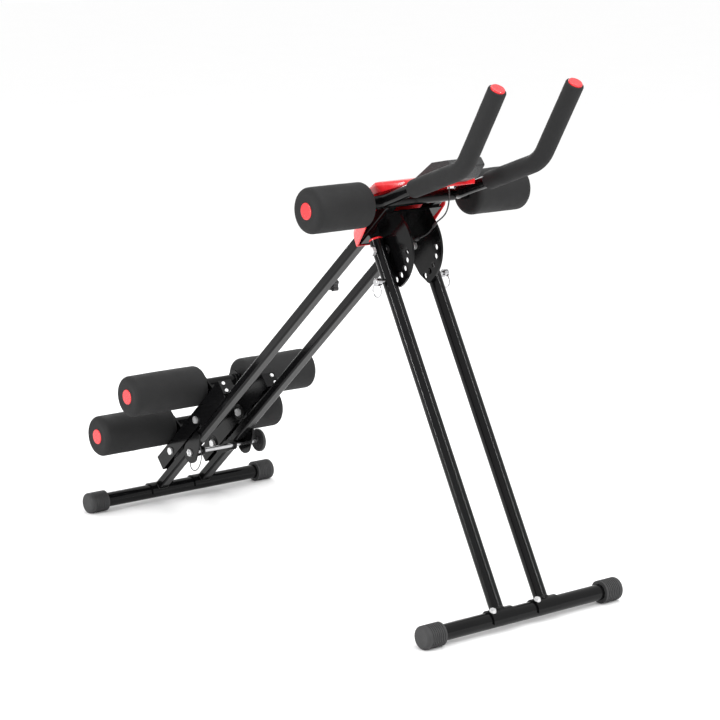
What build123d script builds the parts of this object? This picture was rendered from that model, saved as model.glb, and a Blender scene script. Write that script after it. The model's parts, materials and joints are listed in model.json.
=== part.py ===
from build123d import *
import math
import os

os.makedirs("parts", exist_ok=True)

# Lengths are millimetres. X runs across the bench, Y back from the head to the tail, Z up.
# Side views are drawn with Y measured from the front foot; SHIFT_Y then centres the bench.

# Feet
FOOT_SPAN = 500.0
FOOT_R = 16.0
CAP_R = 23.0
CAP_FLAT = 0.5
CAP_LENGTH = 46.0
CAP_RIBS = 7
CAP_RIB_STEP = 4.6
FIRST_RIB = 5.0
RIB_GAP = 1.6
RIB_DEEP = 1.0
CAP_ROUND = 6.0
CAP_END = 4.0
TUBE_WALL = 2.0
WHEELBASE = 1161.3

# Rails and tail legs, one straight line at RAIL_ANGLE above the floor
RAIL_ANGLE = 42.1
RAIL_X = 57.6
RAIL_WIDTH = 25.0
RAIL_HEIGHT = 20.0
RAIL_CORNER = 4.5
RAIL_LIFT = 3.6
AXLE_UP = 1128.0
HINGE_UP = 192.0
HINGE_DROP = 15.6
JOINT_GAP = 0.6

# Front legs, turning on a pivot this far back down the rail line and this far under it
PIVOT_BACK = 99.5
PIVOT_DROP = 47.6
LEG_X = 56.6
LEG_R = 14.0
LEG_WALL = 2.0
LEG_TOP = 21.0

# Sector plates and the holes that set the slope
PLATE_X = 36.5
PLATE_THICK = 5.0
PLATE_EDGE = 17.0
HOLE_CIRCLE = 64.0
PLATE_FOOT = ((-15.7, -55.9), (6.3, -32.9))
HOLE_STEP = 16.5
HOLE_COUNT = 5
PIN_R = 4.5
PIN_HOLE_R = 6.0
PIVOT_R = 6.0
PIN_BACKED_OFF = 9.0

# Folding hinge
ROD_R = 5.0
LUG_R = 24.0
LUG_THICK = 4.0

# Carriage
TUBE_R = 12.0
FOAM_R = 45.0
FOAM_LENGTH = 186.0
FOAM_INNER_X = 54.4
FOAM_UP = 92.0
FOAM_ROUND = 12.0
LOWER_FOAM = 129.7
UPPER_FOAM = 297.6
WHEEL_R = 17.0
WHEEL_WIDTH = 19.0
WHEEL_AT = (127.0, 263.0)
CHANNEL_START = 72.0
CHANNEL_END = 392.0
CHANNEL_TOP = 45.5
SIDE_THICK = 3.0
LAP_LENGTH = 120.0
LAP_DEPTH = 9.0

# Elbow rollers, handlebars and grips
ARM_X = 95.0
ARM_R = 12.5
ELBOW_FOAM_LENGTH = 139.0
ELBOW_FOAM_INNER_X = 128.5
BEND_FROM_AXLE = (-253.2, 93.1)
TOP_FROM_AXLE = (-343.8, 246.1)
SIDE_BEND_R = 33.0
UPPER_BEND_R = 70.0
GRIP_R = 18.0
GRIP_START = 106.8
RED_CAP_R = 16.5

# Stop knob
KNOB_UP = 830.0
KNOB_R = 14.0
STUD_R = 3.5

# Fits
RUNNING = 0.05
CLEAR = 0.3

UP_COS = math.cos(math.radians(RAIL_ANGLE))
UP_SIN = math.sin(math.radians(RAIL_ANGLE))
FOOT_Z = CAP_R - CAP_FLAT
RAIL_INNER = RAIL_X - RAIL_WIDTH / 2
RAIL_OUTER = RAIL_X + RAIL_WIDTH / 2
SIDES = (("left", -1), ("right", 1))

def rail_point(up, normal):
    """Side-view place of a point this far up the rail line and this far off it."""
    y = WHEELBASE - up * UP_COS + (normal + RAIL_LIFT) * UP_SIN
    z = FOOT_Z + up * UP_SIN + (normal + RAIL_LIFT) * UP_COS
    return (y, z)


def beside_axle(offset):
    """Side-view point given by its distances back from the elbow axle and above it."""
    return (AXLE[0] + offset[0], AXLE[1] + offset[1])


AXLE = rail_point(AXLE_UP, 0)
HINGE = rail_point(HINGE_UP, -HINGE_DROP)
PIVOT = rail_point(AXLE_UP - PIVOT_BACK, -PIVOT_DROP)
LEG_LENGTH = math.hypot(PIVOT[0], PIVOT[1] - FOOT_Z)
LEG_COS = PIVOT[0] / LEG_LENGTH
LEG_SIN = (PIVOT[1] - FOOT_Z) / LEG_LENGTH
LEG_BACK = 180 + math.degrees(math.atan2(LEG_SIN, LEG_COS))
BAR_BEND = beside_axle(BEND_FROM_AXLE)
BAR_TOP = beside_axle(TOP_FROM_AXLE)

# The bench runs from the front of the grips to the back of the rear foot.
bar_rise = BAR_TOP[1] - BAR_BEND[1]
bar_run = BAR_BEND[0] - BAR_TOP[0]
GRIP_FRONT = BAR_TOP[0] - GRIP_R * bar_rise / math.hypot(bar_rise, bar_run)
SHIFT_Y = (WHEELBASE + CAP_R + GRIP_FRONT) / 2


def side_plane(x):
    """Side view at x: its own axes are Y from the front foot, and Z."""
    return Plane(origin=(x, -SHIFT_Y, 0), x_dir=(0, 1, 0), z_dir=(1, 0, 0))


def rail_plane(x):
    """Side view at x, turned so that its own axes run up the rail and square to it."""
    y, z = rail_point(0, 0)
    return Plane(origin=(x, y - SHIFT_Y, z), x_dir=(0, -UP_COS, UP_SIN), z_dir=(-1, 0, 0))


def rail_section(x, up):
    """Plane square to the rail line, looking up it."""
    y, z = rail_point(up, 0)
    return Plane(origin=(x, y - SHIFT_Y, z), x_dir=(1, 0, 0), z_dir=(0, -UP_COS, UP_SIN))


def around_pivot(radius, degrees):
    """Side-view point on a circle about the front legs' pivot."""
    turn = math.radians(degrees)
    return (PIVOT[0] + radius * math.cos(turn), PIVOT[1] + radius * math.sin(turn))


def leg_plane(x, along):
    """Plane square to a front leg, this far up it from the foot."""
    y = along * LEG_COS - SHIFT_Y
    return Plane(origin=(x, y, FOOT_Z + along * LEG_SIN), x_dir=(1, 0, 0), z_dir=(0, LEG_COS, LEG_SIN))


# ---------------------------------------------------------------- feet
for end, foot_y in (("front", 0.0), ("rear", WHEELBASE)):
    with BuildPart() as foot:
        with BuildSketch(side_plane(0)):
            with Locations((foot_y, FOOT_Z)):
                Circle(FOOT_R)
                Circle(FOOT_R - TUBE_WALL, mode=Mode.SUBTRACT)
        extrude(amount=FOOT_SPAN / 2 - CAP_END, both=True)
    foot.part.label = f"{end}_foot"
    export_step(foot.part, f"parts/{end}_foot.step")

    with BuildPart() as foot_caps:
        for side, sign in SIDES:
            inner_x = sign * (FOOT_SPAN / 2 - CAP_LENGTH)
            with BuildSketch(side_plane(inner_x)):
                with Locations((foot_y, FOOT_Z)):
                    Circle(CAP_R)
            extrude(amount=sign * CAP_LENGTH)
        fillet(foot_caps.edges().filter_by(GeomType.CIRCLE).group_by(Axis.X)[0], CAP_ROUND)
        fillet(foot_caps.edges().filter_by(GeomType.CIRCLE).group_by(Axis.X)[-1], CAP_ROUND)
        for side, sign in SIDES:
            inner_x = sign * (FOOT_SPAN / 2 - CAP_LENGTH)
            with BuildSketch(side_plane(inner_x)):
                with Locations((foot_y, FOOT_Z)):
                    Circle(FOOT_R)
            extrude(amount=sign * (CAP_LENGTH - CAP_END), mode=Mode.SUBTRACT)
            for rib in range(CAP_RIBS):
                with BuildSketch(side_plane(inner_x + sign * (FIRST_RIB + rib * CAP_RIB_STEP))):
                    with Locations((foot_y, FOOT_Z)):
                        Circle(CAP_R + RIB_DEEP)
                        Circle(CAP_R - RIB_DEEP, mode=Mode.SUBTRACT)
                extrude(amount=sign * RIB_GAP, mode=Mode.SUBTRACT)
        with BuildSketch(side_plane(0)):
            with Locations((foot_y, -CAP_R)):
                Rectangle(4 * CAP_R, 2 * CAP_R)
        extrude(amount=FOOT_SPAN, both=True, mode=Mode.SUBTRACT)
    foot_caps.part.label = f"{end}_foot_caps"
    export_step(foot_caps.part, f"parts/{end}_foot_caps.step")

# ---------------------------------------------------------------- front legs
SADDLE_R = FOOT_R + 3.5
SADDLE_WIDTH = 58.0
BOLT_SIDE = 21.5
for side, sign in SIDES:
    leg_x = sign * LEG_X
    with BuildPart() as leg:
        with BuildSketch(leg_plane(leg_x, 0)):
            Circle(LEG_R)
        extrude(amount=LEG_LENGTH + LEG_TOP)
        with BuildSketch(leg_plane(leg_x, 40)):
            Circle(LEG_R - LEG_WALL)
        extrude(amount=LEG_LENGTH + LEG_TOP - 40, mode=Mode.SUBTRACT)
        with BuildSketch(side_plane(0)):
            with Locations((0, FOOT_Z)):
                Circle(SADDLE_R)
        extrude(amount=RAIL_OUTER + 20, both=True, mode=Mode.SUBTRACT)
        with BuildSketch(side_plane(0)):
            with Locations(PIVOT):
                Circle(PIVOT_R + RUNNING)
            with Locations(around_pivot(HOLE_CIRCLE, LEG_BACK)):
                Circle(PIN_R + RUNNING)
        extrude(amount=RAIL_OUTER + 20, both=True, mode=Mode.SUBTRACT)
    leg.part.label = f"{side}_front_leg"
    export_step(leg.part, f"parts/{side}_front_leg.step")

with BuildPart() as saddles:
    for side, sign in SIDES:
        with BuildSketch(side_plane(sign * LEG_X)):
            with Locations((0, FOOT_Z)):
                Circle(SADDLE_R)
                Circle(FOOT_R, mode=Mode.SUBTRACT)
                with Locations((0, -SADDLE_R)):
                    Rectangle(3 * SADDLE_R, 2 * SADDLE_R - 6, mode=Mode.SUBTRACT)
        extrude(amount=SADDLE_WIDTH / 2, both=True)
saddles.part.label = "saddles"
export_step(saddles.part, "parts/saddles.step")

with BuildPart() as leg_plugs:
    for side, sign in SIDES:
        plug_plane = leg_plane(sign * LEG_X, LEG_LENGTH + LEG_TOP)
        with BuildSketch(plug_plane):
            Circle(LEG_R)
        extrude(amount=4.5)
    fillet(leg_plugs.edges().filter_by(GeomType.CIRCLE).group_by(Axis.Z)[-1], 3)
    for side, sign in SIDES:
        with BuildSketch(leg_plane(sign * LEG_X, LEG_LENGTH + LEG_TOP - 7)):
            Circle(LEG_R - LEG_WALL)
        extrude(amount=7)
leg_plugs.part.label = "leg_plugs"
export_step(leg_plugs.part, "parts/leg_plugs.step")

BOLT_TURN = math.radians(105)
WASHER_R = 6.8
FOOT_BOLT_R = 5.8
with BuildPart() as foot_bolts:
    for side, sign in SIDES:
        bolt_plane = Plane(
            origin=(sign * LEG_X - BOLT_SIDE, -SHIFT_Y, FOOT_Z),
            x_dir=(1, 0, 0),
            z_dir=(0, math.cos(BOLT_TURN), math.sin(BOLT_TURN)),
        )
        with BuildSketch(bolt_plane.offset(SADDLE_R - 1)):
            Circle(WASHER_R)
        extrude(amount=2.2)
        with BuildSketch(bolt_plane.offset(SADDLE_R + 1)):
            RegularPolygon(FOOT_BOLT_R, 6)
        extrude(amount=4)
    with BuildSketch(side_plane(0)):
        with Locations((0, FOOT_Z)):
            Circle(SADDLE_R)
    extrude(amount=FOOT_SPAN / 2, both=True, mode=Mode.SUBTRACT)
foot_bolts.part.label = "foot_bolts"
export_step(foot_bolts.part, "parts/foot_bolts.step")

# ---------------------------------------------------------------- head: plates and bracket
WEB_TOP = -RAIL_HEIGHT / 2
WEB_THICK = 4.0
BRACKET_BACK = AXLE_UP - 126.4
BRACKET_FRONT = AXLE_UP - 19.0
for side, sign in SIDES:
    with BuildPart() as sector_plate:
        with BuildSketch(side_plane(sign * PLATE_X)):
            with BuildLine():
                arc_top = around_pivot(HOLE_CIRCLE + PLATE_EDGE, 128)
                arc_mid = around_pivot(HOLE_CIRCLE + PLATE_EDGE, 183)
                arc_low = around_pivot(HOLE_CIRCLE + PLATE_EDGE, 239)
                ThreePointArc(arc_top, arc_mid, arc_low)
                Polyline(
                    arc_low,
                    *((PIVOT[0] + back, PIVOT[1] + rise) for back, rise in PLATE_FOOT),
                    rail_point(BRACKET_BACK, WEB_TOP - WEB_THICK),
                    rail_point(BRACKET_FRONT, WEB_TOP - WEB_THICK),
                    arc_top,
                )
            make_face()
            with Locations(PIVOT):
                Circle(PIVOT_R + RUNNING, mode=Mode.SUBTRACT)
            for hole in range(HOLE_COUNT):
                with Locations(around_pivot(HOLE_CIRCLE, LEG_BACK - hole * HOLE_STEP)):
                    Circle(PIN_HOLE_R, mode=Mode.SUBTRACT)
        extrude(amount=PLATE_THICK / 2, both=True)
    sector_plate.part.label = f"{side}_sector_plate"
    export_step(sector_plate.part, f"parts/{side}_sector_plate.step")

with BuildPart() as head_bracket:
    with BuildSketch(rail_plane(0)):
        with Locations(((BRACKET_BACK + BRACKET_FRONT) / 2, WEB_TOP - WEB_THICK / 2)):
            Rectangle(BRACKET_FRONT - BRACKET_BACK, WEB_THICK)
    extrude(amount=RAIL_OUTER, both=True)
head_bracket.part.label = "head_bracket"
export_step(head_bracket.part, "parts/head_bracket.step")

PLATE_INNER = PLATE_X - PLATE_THICK / 2
PIVOT_NUT_R = 10.0
PIVOT_NUT = 7.0
PIVOT_HEAD_R = 8.0
PIVOT_HEAD = 6.0
THREAD_PROUD = 8.0
BUSH_WALL = 4.0
with BuildPart() as pivot_bolts:
    for side, sign in SIDES:
        with BuildSketch(side_plane(sign * (PLATE_INNER - THREAD_PROUD))):
            with Locations(PIVOT):
                Circle(PIVOT_R)
        extrude(amount=sign * (LEG_X + LEG_R + THREAD_PROUD - PLATE_INNER + CLEAR))
        with BuildSketch(side_plane(sign * (LEG_X + LEG_R + CLEAR))):
            with Locations(PIVOT):
                RegularPolygon(PIVOT_NUT_R, 6)
        extrude(amount=sign * PIVOT_NUT)
        with BuildSketch(side_plane(sign * (PLATE_INNER - PIVOT_HEAD))):
            with Locations(PIVOT):
                RegularPolygon(PIVOT_HEAD_R, 6)
        extrude(amount=sign * PIVOT_HEAD)
pivot_bolts.part.label = "pivot_bolts"
export_step(pivot_bolts.part, "parts/pivot_bolts.step")

with BuildPart() as pivot_bushes:
    for side, sign in SIDES:
        with BuildSketch(side_plane(sign * (PLATE_X + PLATE_THICK / 2))):
            with Locations(PIVOT):
                Circle(PIVOT_R + BUSH_WALL)
                Circle(PIVOT_R, mode=Mode.SUBTRACT)
        extrude(amount=sign * (LEG_X - LEG_R - CLEAR - PLATE_X - PLATE_THICK / 2))
pivot_bushes.part.label = "pivot_bushes"
export_step(pivot_bushes.part, "parts/pivot_bushes.step")

# ---------------------------------------------------------------- slope pins and their rings
PIN_AT = around_pivot(HOLE_CIRCLE, LEG_BACK)
PIN_TIP_X = PLATE_X + PLATE_THICK / 2 + 1.2
PIN_HEAD_X = LEG_X + LEG_R + PIN_BACKED_OFF + CLEAR
PIN_HEAD = 12.0
PIN_HEAD_R = 8.0
RING_HOLE_IN = 5.0
RING_HOLE_R = 2.9
RING_R = 13.0
RING_WIRE = 1.3
RING_HOLE_DROP = 3.8
RING_REST = 0.6
for side, sign in SIDES:
    with BuildPart() as pin:
        with BuildSketch(side_plane(sign * PIN_TIP_X)):
            with Locations(PIN_AT):
                Circle(PIN_R)
        extrude(amount=sign * (PIN_HEAD_X - PIN_TIP_X))
        chamfer(pin.edges().filter_by(GeomType.CIRCLE).sort_by(Axis.X)[0 if sign > 0 else -1], 1)
        with BuildSketch(side_plane(sign * PIN_HEAD_X)):
            with Locations(PIN_AT):
                Circle(PIN_HEAD_R)
        extrude(amount=sign * PIN_HEAD)
        fillet(pin.edges().filter_by(GeomType.CIRCLE).sort_by(Axis.X)[-1 if sign > 0 else 0], 3)
        hole_x = sign * (PIN_HEAD_X + PIN_HEAD - RING_HOLE_IN)
        with BuildSketch(Plane(origin=(hole_x, 0, 0), x_dir=(1, 0, 0), z_dir=(0, -1, 0))):
            with Locations((0, PIN_AT[1] - RING_HOLE_DROP)):
                Circle(RING_HOLE_R)
        extrude(amount=SHIFT_Y, both=True, mode=Mode.SUBTRACT)
    pin.part.label = f"{side}_pin"
    export_step(pin.part, f"parts/{side}_pin.step")

    with BuildPart() as ring:
        ring_plane = Plane(
            origin=(hole_x, PIN_AT[0] - SHIFT_Y, PIN_AT[1] - RING_HOLE_DROP - RING_R + RING_REST),
            x_dir=(0, 1, 0),
            z_dir=(1, 0, 0),
        )
        with Locations(ring_plane):
            Torus(RING_R, RING_WIRE)
    ring.part.label = f"{side}_ring"
    export_step(ring.part, f"parts/{side}_ring.step")

# ---------------------------------------------------------------- rails and tail legs
for side, sign in SIDES:
    with BuildPart() as rail:
        with BuildSketch(rail_section(sign * RAIL_X, HINGE_UP + JOINT_GAP / 2)):
            RectangleRounded(RAIL_WIDTH, RAIL_HEIGHT, RAIL_CORNER)
            offset(amount=-TUBE_WALL, kind=Kind.ARC, mode=Mode.SUBTRACT)
        extrude(amount=AXLE_UP - HINGE_UP - JOINT_GAP / 2)
        with BuildSketch(side_plane(0)):
            with Locations(AXLE):
                Circle(TUBE_R)
        extrude(amount=FOOT_SPAN, both=True, mode=Mode.SUBTRACT)
        if side == "left":
            with BuildSketch(rail_plane(-RAIL_INNER)):
                with Locations((KNOB_UP, 0)):
                    Circle(STUD_R + RUNNING)
            extrude(amount=RAIL_WIDTH / 2, both=True, mode=Mode.SUBTRACT)
    rail.part.label = f"{side}_rail"
    export_step(rail.part, f"parts/{side}_rail.step")

    with BuildPart() as tail_leg:
        with BuildSketch(rail_section(sign * RAIL_X, 0)):
            RectangleRounded(RAIL_WIDTH, RAIL_HEIGHT, RAIL_CORNER)
            offset(amount=-TUBE_WALL, kind=Kind.ARC, mode=Mode.SUBTRACT)
        extrude(amount=HINGE_UP - JOINT_GAP / 2)
        with BuildSketch(side_plane(0)):
            with Locations((WHEELBASE, FOOT_Z)):
                Circle(FOOT_R)
        extrude(amount=FOOT_SPAN, both=True, mode=Mode.SUBTRACT)
        with BuildSketch(side_plane(0)):
            with Locations((WHEELBASE + 40, 0)):
                Rectangle(80, 160)
        extrude(amount=FOOT_SPAN, both=True, mode=Mode.SUBTRACT)
        with BuildSketch(side_plane(sign * RAIL_X)):
            with Locations((WHEELBASE, FOOT_Z)):
                Circle(SADDLE_R)
                Circle(FOOT_R, mode=Mode.SUBTRACT)
                with Locations((0, -SADDLE_R)):
                    Rectangle(3 * SADDLE_R, 2 * SADDLE_R - 6, mode=Mode.SUBTRACT)
        extrude(amount=SADDLE_WIDTH / 2, both=True)
    tail_leg.part.label = f"{side}_tail_leg"
    export_step(tail_leg.part, f"parts/{side}_tail_leg.step")

# Teardrop lugs on the rails' outer faces, and the tail legs' own eyes on their inner faces.
LUG_TURN = math.radians(75)
lug_low = (HINGE_UP + LUG_R * math.cos(LUG_TURN), -HINGE_DROP - LUG_R * math.sin(LUG_TURN))
lug_back = (HINGE_UP - LUG_R, -HINGE_DROP)
lug_high = (HINGE_UP, -HINGE_DROP + LUG_R)
LUG_TAIL = ((HINGE_UP + 52, 8), (HINGE_UP + 58, -4), (HINGE_UP + 40, -22))
with BuildPart() as hinge_lugs:
    for side, sign in SIDES:
        with BuildSketch(rail_plane(sign * (RAIL_OUTER + LUG_THICK / 2))):
            with BuildLine():
                ThreePointArc(lug_low, lug_back, lug_high)
                Polyline(lug_high, *LUG_TAIL, lug_low)
            make_face()
            with Locations((HINGE_UP, -HINGE_DROP)):
                Circle(ROD_R + RUNNING, mode=Mode.SUBTRACT)
        extrude(amount=LUG_THICK / 2, both=True)
    with BuildSketch(rail_plane(0)):
        with Locations((HINGE_UP - 2 * LUG_R + JOINT_GAP, 0)):
            Rectangle(4 * LUG_R, 4 * LUG_R)
    extrude(amount=RAIL_OUTER + CLEAR, both=True, mode=Mode.SUBTRACT)
hinge_lugs.part.label = "hinge_lugs"
export_step(hinge_lugs.part, "parts/hinge_lugs.step")

EYE_R = 11.0
with BuildPart() as hinge_eyes:
    for side, sign in SIDES:
        with BuildSketch(rail_plane(sign * (RAIL_INNER - CLEAR - LUG_THICK / 2))):
            with Locations((HINGE_UP, -HINGE_DROP)):
                Circle(EYE_R)
            with BuildLine():
                Polyline(
                    (HINGE_UP + 2, -HINGE_DROP - EYE_R + 1),
                    (HINGE_UP + 2, -HINGE_DROP + EYE_R - 1),
                    (HINGE_UP - 24, 8),
                    (HINGE_UP - 52, 8),
                    (HINGE_UP - 52, -8),
                    close=True,
                )
            make_face()
            with Locations((HINGE_UP, -HINGE_DROP)):
                Circle(ROD_R + RUNNING, mode=Mode.SUBTRACT)
        extrude(amount=LUG_THICK / 2, both=True)
        with BuildSketch(rail_plane(sign * (RAIL_INNER - CLEAR / 2))):
            with Locations((HINGE_UP - 32, 0)):
                Rectangle(38, 14)
        extrude(amount=CLEAR / 2, both=True)
hinge_eyes.part.label = "hinge_eyes"
export_step(hinge_eyes.part, "parts/hinge_eyes.step")

ROD_LEFT_X = -(RAIL_OUTER + LUG_THICK + 5)
ROD_RIGHT_X = 107.0
ROD_KNOB_R = 26.0
ROD_KNOB = 8.0
ROD_COLLAR_R = 9.0
ROD_COLLAR = 4.0
with BuildPart() as hinge_rod:
    with BuildSketch(side_plane(ROD_LEFT_X)):
        with Locations(HINGE):
            Circle(ROD_R)
    extrude(amount=ROD_RIGHT_X - ROD_LEFT_X)
    chamfer(hinge_rod.edges().filter_by(GeomType.CIRCLE).sort_by(Axis.X)[0], 1.2)
hinge_rod.part.label = "hinge_rod"
export_step(hinge_rod.part, "parts/hinge_rod.step")

with BuildPart() as rod_knob:
    with BuildSketch(side_plane(ROD_RIGHT_X - ROD_COLLAR)):
        with Locations(HINGE):
            Circle(ROD_COLLAR_R)
            Circle(ROD_R, mode=Mode.SUBTRACT)
    extrude(amount=ROD_COLLAR)
    with BuildSketch(side_plane(ROD_RIGHT_X)):
        with Locations(HINGE):
            Circle(ROD_KNOB_R)
    extrude(amount=ROD_KNOB)
    fillet(rod_knob.edges().filter_by(GeomType.CIRCLE).filter_by(lambda e: e.radius > ROD_COLLAR_R), 3)
rod_knob.part.label = "rod_knob"
export_step(rod_knob.part, "parts/rod_knob.step")

# ---------------------------------------------------------------- carriage
INNER_SIDE_X = RAIL_INNER - 1.2 - SIDE_THICK / 2
OUTER_SIDE_X = RAIL_OUTER + 1.2 + SIDE_THICK / 2
SIDE_LOW = RAIL_HEIGHT / 2 + 2.5
WHEEL_UP = RAIL_HEIGHT / 2 + WHEEL_R
BOLT_R = 4.0
WHEEL_NUT_R = 8.5
WHEEL_HEAD_R = 8.0
with BuildPart() as tube_shape:
    for along in (LOWER_FOAM, UPPER_FOAM):
        with BuildSketch(rail_plane(0)):
            with Locations((along, FOAM_UP)):
                Circle(TUBE_R)
        extrude(amount=FOOT_SPAN, both=True)

CHANNEL_MIDDLE = (CHANNEL_START + CHANNEL_END) / 2
SIDE_HEIGHT = CHANNEL_TOP - SIDE_LOW
SIDE_MIDDLE = (CHANNEL_TOP + SIDE_LOW) / 2
with BuildPart() as inner_sides:
    for side, sign in SIDES:
        with BuildSketch(rail_plane(sign * INNER_SIDE_X)):
            with Locations((CHANNEL_MIDDLE, SIDE_MIDDLE)):
                Rectangle(CHANNEL_END - CHANNEL_START, SIDE_HEIGHT)
            for along in (LOWER_FOAM, UPPER_FOAM):
                with Locations((along, FOAM_UP)):
                    Circle(TUBE_R + 9)
                with BuildLine():
                    Polyline(
                        (along - 34, CHANNEL_TOP - 1),
                        (along - TUBE_R - 8, FOAM_UP),
                        (along + TUBE_R + 8, FOAM_UP),
                        (along + 34, CHANNEL_TOP - 1),
                        close=True,
                    )
                make_face()
            for along in WHEEL_AT:
                with Locations((along, WHEEL_UP)):
                    Circle(BOLT_R, mode=Mode.SUBTRACT)
        extrude(amount=SIDE_THICK / 2, both=True)
    add(tube_shape.part, mode=Mode.SUBTRACT)
inner_sides.part.label = "carriage_inner_sides"
export_step(inner_sides.part, "parts/carriage_inner_sides.step")

with BuildPart() as outer_sides:
    for side, sign in SIDES:
        with BuildSketch(rail_plane(sign * OUTER_SIDE_X)):
            with Locations((CHANNEL_MIDDLE, SIDE_MIDDLE)):
                Rectangle(CHANNEL_END - CHANNEL_START, SIDE_HEIGHT)
            with Locations((CHANNEL_END - LAP_LENGTH / 2, SIDE_LOW - LAP_DEPTH / 2)):
                Rectangle(LAP_LENGTH, LAP_DEPTH)
            for along in WHEEL_AT:
                with Locations((along, WHEEL_UP)):
                    Circle(BOLT_R, mode=Mode.SUBTRACT)
        extrude(amount=SIDE_THICK / 2, both=True)
outer_sides.part.label = "carriage_outer_sides"
export_step(outer_sides.part, "parts/carriage_outer_sides.step")

for side, sign in SIDES:
    for end, along in (("lower", WHEEL_AT[0]), ("upper", WHEEL_AT[1])):
        with BuildPart() as wheel:
            with BuildSketch(rail_plane(sign * RAIL_X)):
                with Locations((along, WHEEL_UP)):
                    Circle(WHEEL_R - RUNNING)
                    Circle(BOLT_R + RUNNING, mode=Mode.SUBTRACT)
            extrude(amount=WHEEL_WIDTH / 2, both=True)
            fillet(wheel.edges().filter_by(GeomType.CIRCLE).filter_by(lambda e: e.radius > BOLT_R + 1), 2.5)
        wheel.part.label = f"{side}_{end}_wheel"
        export_step(wheel.part, f"parts/{side}_{end}_wheel.step")

with BuildPart() as end_plates:
    for start in (CHANNEL_START - SIDE_THICK, CHANNEL_END):
        for side, sign in SIDES:
            with BuildSketch(rail_plane(sign * (INNER_SIDE_X + OUTER_SIDE_X) / 2)):
                with Locations((start + SIDE_THICK / 2, SIDE_MIDDLE)):
                    Rectangle(SIDE_THICK, SIDE_HEIGHT)
            extrude(amount=(OUTER_SIDE_X - INNER_SIDE_X + SIDE_THICK) / 2, both=True)
end_plates.part.label = "carriage_end_plates"
export_step(end_plates.part, "parts/carriage_end_plates.step")

with BuildPart() as wheel_bolts:
    for side, sign in SIDES:
        for along in WHEEL_AT:
            with BuildSketch(rail_plane(sign * (INNER_SIDE_X - SIDE_THICK / 2))):
                with Locations((along, WHEEL_UP)):
                    Circle(BOLT_R)
            extrude(amount=-sign * (OUTER_SIDE_X - INNER_SIDE_X + SIDE_THICK))
            with BuildSketch(rail_plane(sign * (INNER_SIDE_X - SIDE_THICK / 2))):
                with Locations((along, WHEEL_UP)):
                    RegularPolygon(WHEEL_NUT_R, 6)
            extrude(amount=sign * 6)
            with BuildSketch(rail_plane(sign * (OUTER_SIDE_X + SIDE_THICK / 2))):
                with Locations((along, WHEEL_UP)):
                    Circle(WHEEL_HEAD_R)
            extrude(amount=-sign * 4)
wheel_bolts.part.label = "wheel_bolts"
export_step(wheel_bolts.part, "parts/wheel_bolts.step")

with BuildPart() as end_screws:
    for side, sign in SIDES:
        for height in (SIDE_LOW + 7, CHANNEL_TOP - 8):
            with BuildSketch(rail_section(sign * (OUTER_SIDE_X - 8), CHANNEL_END + SIDE_THICK)):
                with Locations((0, height)):
                    Circle(4)
            extrude(amount=2.5)
end_screws.part.label = "end_screws"
export_step(end_screws.part, "parts/end_screws.step")

CAP_DEPTH = 8.0
CAP_PROUD = 1.0
ELBOW_REACH = ELBOW_FOAM_INNER_X + ELBOW_FOAM_LENGTH - CAP_DEPTH
TUBE_REACH = FOAM_INNER_X + FOAM_LENGTH - CAP_DEPTH
with BuildPart() as cross_tubes:
    for along in (LOWER_FOAM, UPPER_FOAM):
        with BuildSketch(rail_plane(0)):
            with Locations((along, FOAM_UP)):
                Circle(TUBE_R)
                Circle(TUBE_R - TUBE_WALL, mode=Mode.SUBTRACT)
        extrude(amount=TUBE_REACH, both=True)
cross_tubes.part.label = "cross_tubes"
export_step(cross_tubes.part, "parts/cross_tubes.step")

ROLLERS = (
    ("lower", rail_point(LOWER_FOAM, FOAM_UP), FOAM_INNER_X, FOAM_LENGTH, TUBE_R),
    ("upper", rail_point(UPPER_FOAM, FOAM_UP), FOAM_INNER_X, FOAM_LENGTH, TUBE_R),
    ("elbow", AXLE, ELBOW_FOAM_INNER_X, ELBOW_FOAM_LENGTH, ARM_R),
)
for end, centre, inner_x, length, shaft in ROLLERS:
    for side, sign in SIDES:
        with BuildPart() as foam:
            with BuildSketch(side_plane(sign * inner_x)):
                with Locations(centre):
                    Circle(FOAM_R)
            extrude(amount=sign * length)
            fillet(foam.edges().filter_by(GeomType.CIRCLE), FOAM_ROUND)
            with BuildSketch(side_plane(sign * inner_x)):
                with Locations(centre):
                    Circle(shaft + RUNNING)
            extrude(amount=sign * length, mode=Mode.SUBTRACT)
            with BuildSketch(side_plane(sign * (inner_x + length - CAP_DEPTH - CLEAR))):
                with Locations(centre):
                    Circle(RED_CAP_R + CLEAR)
            extrude(amount=sign * 2 * CAP_DEPTH, mode=Mode.SUBTRACT)
        foam.part.label = f"{side}_{end}_foam"
        export_step(foam.part, f"parts/{side}_{end}_foam.step")

# Each red cap plugs the end of its tube and holds the roller on.
for group, rollers in (("carriage", ROLLERS[:2]), ("elbow", ROLLERS[2:])):
    with BuildPart() as red_caps:
        for end, centre, inner_x, length, shaft in rollers:
            for side, sign in SIDES:
                with BuildSketch(side_plane(sign * (inner_x + length - CAP_DEPTH))):
                    with Locations(centre):
                        Circle(RED_CAP_R)
                extrude(amount=sign * (CAP_DEPTH + CAP_PROUD))
        fillet(red_caps.edges().filter_by(GeomType.CIRCLE).group_by(Axis.X)[0], 1.8)
        fillet(red_caps.edges().filter_by(GeomType.CIRCLE).group_by(Axis.X)[-1], 1.8)
        for end, centre, inner_x, length, shaft in rollers:
            for side, sign in SIDES:
                with BuildSketch(side_plane(sign * (inner_x + length - CAP_DEPTH))):
                    with Locations(centre):
                        Circle(shaft - TUBE_WALL)
                extrude(amount=-sign * 12)
    red_caps.part.label = f"{group}_red_caps"
    export_step(red_caps.part, f"parts/{group}_red_caps.step")

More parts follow.
